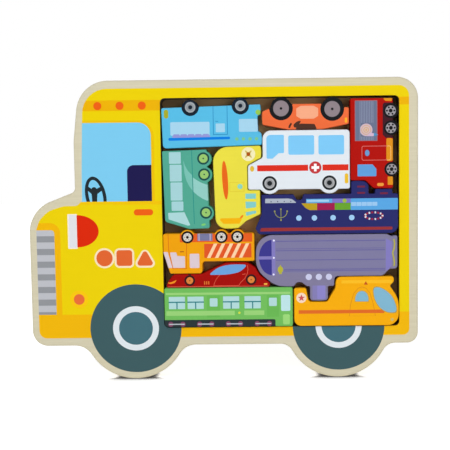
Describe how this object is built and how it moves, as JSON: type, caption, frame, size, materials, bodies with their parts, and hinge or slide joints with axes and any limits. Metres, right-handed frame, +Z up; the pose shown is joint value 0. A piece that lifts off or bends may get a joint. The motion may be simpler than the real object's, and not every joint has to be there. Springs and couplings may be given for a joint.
{
  "type": "wooden_block_puzzle",
  "caption": "Bus-shaped wooden tray standing on its wheels, with its large window packed with thick interlocking wooden vehicle blocks that lift out",
  "frame": {"origin": "middle of the overall box in X and Y, at the height of the two wheel bottoms it stands on", "axes": "+X along the bus towards its rear end, to the right seen from the printed face; +Z up; the printed face looks towards -Y and the plain back board towards +Y"},
  "size_m": [0.2998, 0.0218, 0.2307],
  "materials": {
    "tray_wood": "satin print, bare sanded edge",
    "board_wood": "bare, sanded",
    "camper_paint": "satin painted",
    "race_car_paint": "satin painted",
    "fire_truck_paint": "satin painted",
    "ambulance_paint": "satin painted",
    "coach_paint": "satin painted",
    "airplane_paint": "satin painted",
    "ship_paint": "satin painted",
    "submarine_paint": "satin painted",
    "crane_truck_paint": "satin painted",
    "sports_car_paint": "satin painted",
    "train_paint": "satin painted",
    "helicopter_paint": "satin painted"
  },
  "bodies": {
    "tray": {"tray_frame": "tray_wood", "back_board": "board_wood"},
    "camper": {"camper": "camper_paint"},
    "race_car": {"race_car": "race_car_paint"},
    "fire_truck": {"fire_truck": "fire_truck_paint"},
    "ambulance": {"ambulance": "ambulance_paint"},
    "coach": {"coach": "coach_paint"},
    "airplane": {"airplane": "airplane_paint"},
    "ship": {"ship": "ship_paint"},
    "submarine": {"submarine": "submarine_paint"},
    "crane_truck": {"crane_truck": "crane_truck_paint"},
    "sports_car": {"sports_car": "sports_car_paint"},
    "train": {"train": "train_paint"},
    "helicopter": {"helicopter": "helicopter_paint"}
  },
  "joints": [
    {"name": "camper_lift", "type": "slide", "parent": "tray", "child": "camper", "axis": [0, -1, 0], "range_m": [0, 0.03]},
    {"name": "race_car_lift", "type": "slide", "parent": "tray", "child": "race_car", "axis": [0, -1, 0], "range_m": [0, 0.03]},
    {"name": "fire_truck_lift", "type": "slide", "parent": "tray", "child": "fire_truck", "axis": [0, -1, 0], "range_m": [0, 0.03]},
    {"name": "ambulance_lift", "type": "slide", "parent": "tray", "child": "ambulance", "axis": [0, -1, 0], "range_m": [0, 0.03]},
    {"name": "coach_lift", "type": "slide", "parent": "tray", "child": "coach", "axis": [0, -1, 0], "range_m": [0, 0.03]},
    {"name": "airplane_lift", "type": "slide", "parent": "tray", "child": "airplane", "axis": [0, -1, 0], "range_m": [0, 0.03]},
    {"name": "ship_lift", "type": "slide", "parent": "tray", "child": "ship", "axis": [0, -1, 0], "range_m": [0, 0.03]},
    {"name": "submarine_lift", "type": "slide", "parent": "tray", "child": "submarine", "axis": [0, -1, 0], "range_m": [0, 0.03]},
    {"name": "crane_truck_lift", "type": "slide", "parent": "tray", "child": "crane_truck", "axis": [0, -1, 0], "range_m": [0, 0.03]},
    {"name": "sports_car_lift", "type": "slide", "parent": "tray", "child": "sports_car", "axis": [0, -1, 0], "range_m": [0, 0.03]},
    {"name": "train_lift", "type": "slide", "parent": "tray", "child": "train", "axis": [0, -1, 0], "range_m": [0, 0.03]},
    {"name": "helicopter_lift", "type": "slide", "parent": "tray", "child": "helicopter", "axis": [0, -1, 0], "range_m": [0, 0.03]}
  ]
}
